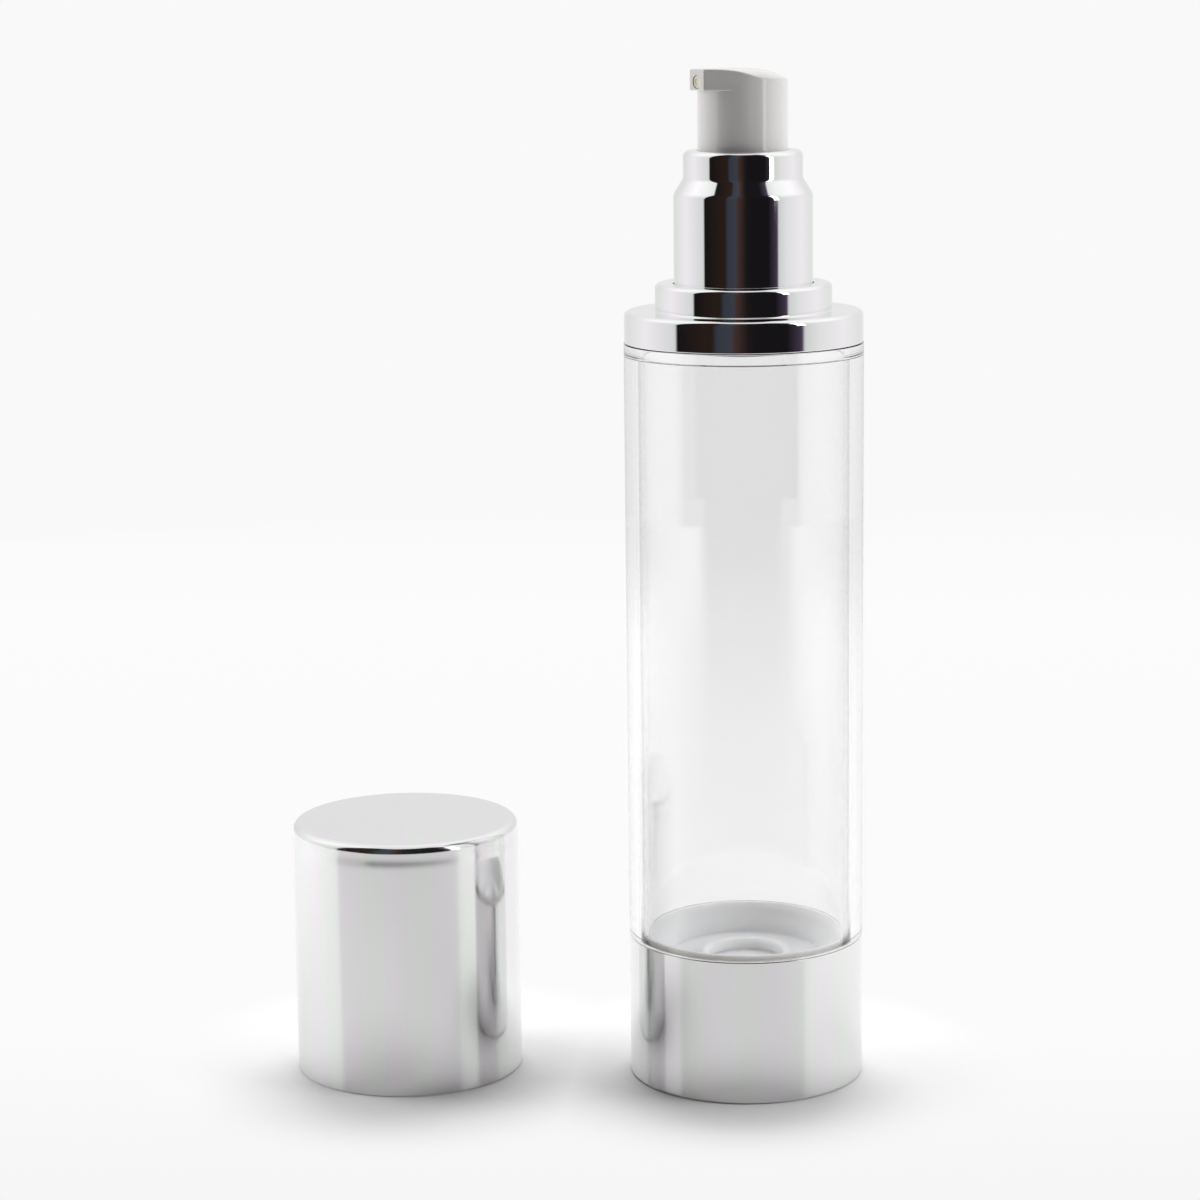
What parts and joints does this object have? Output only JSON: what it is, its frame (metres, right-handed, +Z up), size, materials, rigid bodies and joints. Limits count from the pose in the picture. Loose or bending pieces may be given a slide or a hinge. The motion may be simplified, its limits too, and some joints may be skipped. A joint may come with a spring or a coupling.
{
  "type": "airless pump bottle",
  "caption": "Cylindrical airless pump bottle with a clear double wall, a rising follower, a silver base, shoulder and collar, a side-nozzle pump and a silver overcap standing beside it.",
  "frame": {"origin": "centre of the bottle's foot ring, on the surface that it stands on", "axes": "+Z up along the bottle's axis; +X from the overcap towards the bottle; +Y away from the side that the picture shows"},
  "size_m": [0.1007, 0.0434, 0.1756],
  "materials": {
    "clear_tube": "gloss",
    "clear_bottle": "gloss",
    "silver_base": "polished",
    "silver_shoulder": "polished",
    "silver_collar": "polished",
    "silver_overcap": "polished",
    "white_insert": "satin",
    "white_liner": "satin",
    "natural_follower": "satin",
    "natural_pump": "satin",
    "piston_plastic": "satin",
    "grey_gasket": "matte",
    "spring_steel": "polished",
    "white_gloss": "gloss",
    "ivory_bush": "satin"
  },
  "bodies": {
    "bottle": {"outer_tube": "clear_tube", "inner_bottle": "clear_bottle", "base_shell": "silver_base", "base_insert": "white_insert", "shoulder_ring": "silver_shoulder"},
    "pump": {"pump_housing": "natural_pump", "stem_guide": "natural_pump", "neck_gasket": "grey_gasket", "return_spring": "spring_steel"},
    "closure": {"screw_closure": "white_insert", "pump_collar": "silver_collar"},
    "pump_stem": {"stem": "natural_pump", "stem_plug": "natural_pump"},
    "piston": {"pump_piston": "piston_plastic"},
    "ball": {"inlet_ball": "spring_steel"},
    "push_button": {"actuator": "white_gloss", "nozzle_insert": "ivory_bush"},
    "follower": {"follower_piston": "natural_follower"},
    "overcap": {"overcap_shell": "silver_overcap", "overcap_liner": "white_liner"}
  },
  "joints": [
    {"name": "pump_lift", "type": "slide", "parent": "bottle", "child": "pump", "axis": [0, 0, 1], "range_m": [0, 0.006]},
    {"name": "closure_turn", "type": "hinge", "parent": "pump", "child": "closure", "pos_m": [0, 0, 0.14], "axis": [0, 0, 1], "range_deg": [0, 720]},
    {"name": "pump_press", "type": "slide", "parent": "pump", "child": "pump_stem", "axis": [0, 0, -1], "range_m": [0, 0.0052], "stiffness_N_per_m": 1200, "springref_m": -0.003, "deforming": ["return_spring"]},
    {"name": "piston_slide", "type": "slide", "parent": "pump", "child": "piston", "axis": [0, 0, -1], "range_m": [0, 0.0046]},
    {"name": "ball_lift", "type": "slide", "parent": "pump", "child": "ball", "axis": [0, 0, 1], "range_m": [0, 0.0007]},
    {"name": "actuator_turn", "type": "hinge", "parent": "pump_stem", "child": "push_button", "pos_m": [0, 0, 0.165], "axis": [0, 0, 1], "continuous": true},
    {"name": "follower_slide", "type": "slide", "parent": "bottle", "child": "follower", "axis": [0, 0, 1], "range_m": [0, 0.1014]},
    {"name": "cap_lift", "type": "slide", "parent": "bottle", "child": "overcap", "axis": [0, 0, 1], "range_m": [0, 0.18]}
  ],
  "couplings": [
    {"joint": "pump_lift", "follows": "closure_turn", "m_per_rad": 0.00047746},
    {"joint": "piston_slide", "follows": "pump_press", "ratio": 0.8846}
  ]
}
